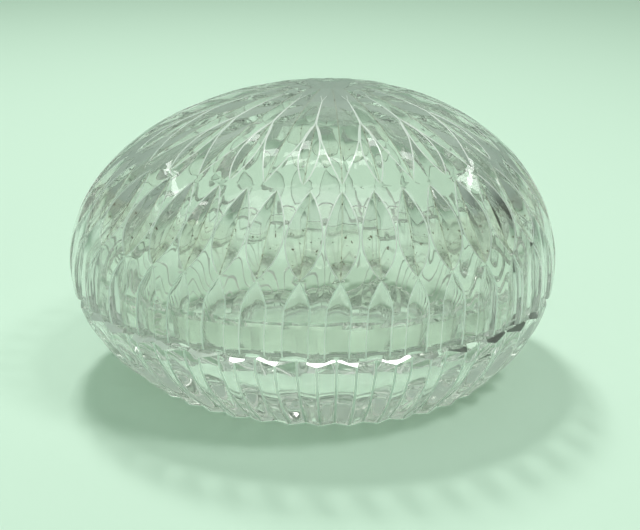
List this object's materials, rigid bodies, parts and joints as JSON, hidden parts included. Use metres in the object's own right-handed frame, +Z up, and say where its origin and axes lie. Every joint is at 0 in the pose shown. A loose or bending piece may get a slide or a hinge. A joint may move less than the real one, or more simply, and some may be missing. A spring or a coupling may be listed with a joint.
{
  "type": "lidded glass trinket box",
  "caption": "Egg-shaped clear cut-glass trinket box: fluted base bowl and lift-off domed lid with star, almond and flute cuts.",
  "frame": {"origin": "on the resting plane, halfway along the egg's length and on its centre line", "axes": "+X along the length towards the blunt end of the egg, +Y across the width to the back, +Z up along the lid's lift"},
  "size_m": [0.118, 0.0928, 0.0703],
  "materials": {
    "crystal_base": "polished clear cut glass",
    "crystal_lid": "polished clear cut glass"
  },
  "bodies": {
    "base": {"base": "crystal_base"},
    "lid": {"lid": "crystal_lid"}
  },
  "joints": [
    {"name": "lid_lift", "type": "slide", "parent": "base", "child": "lid", "axis": [0, 0, 1], "range_m": [0, 0.06]}
  ]
}
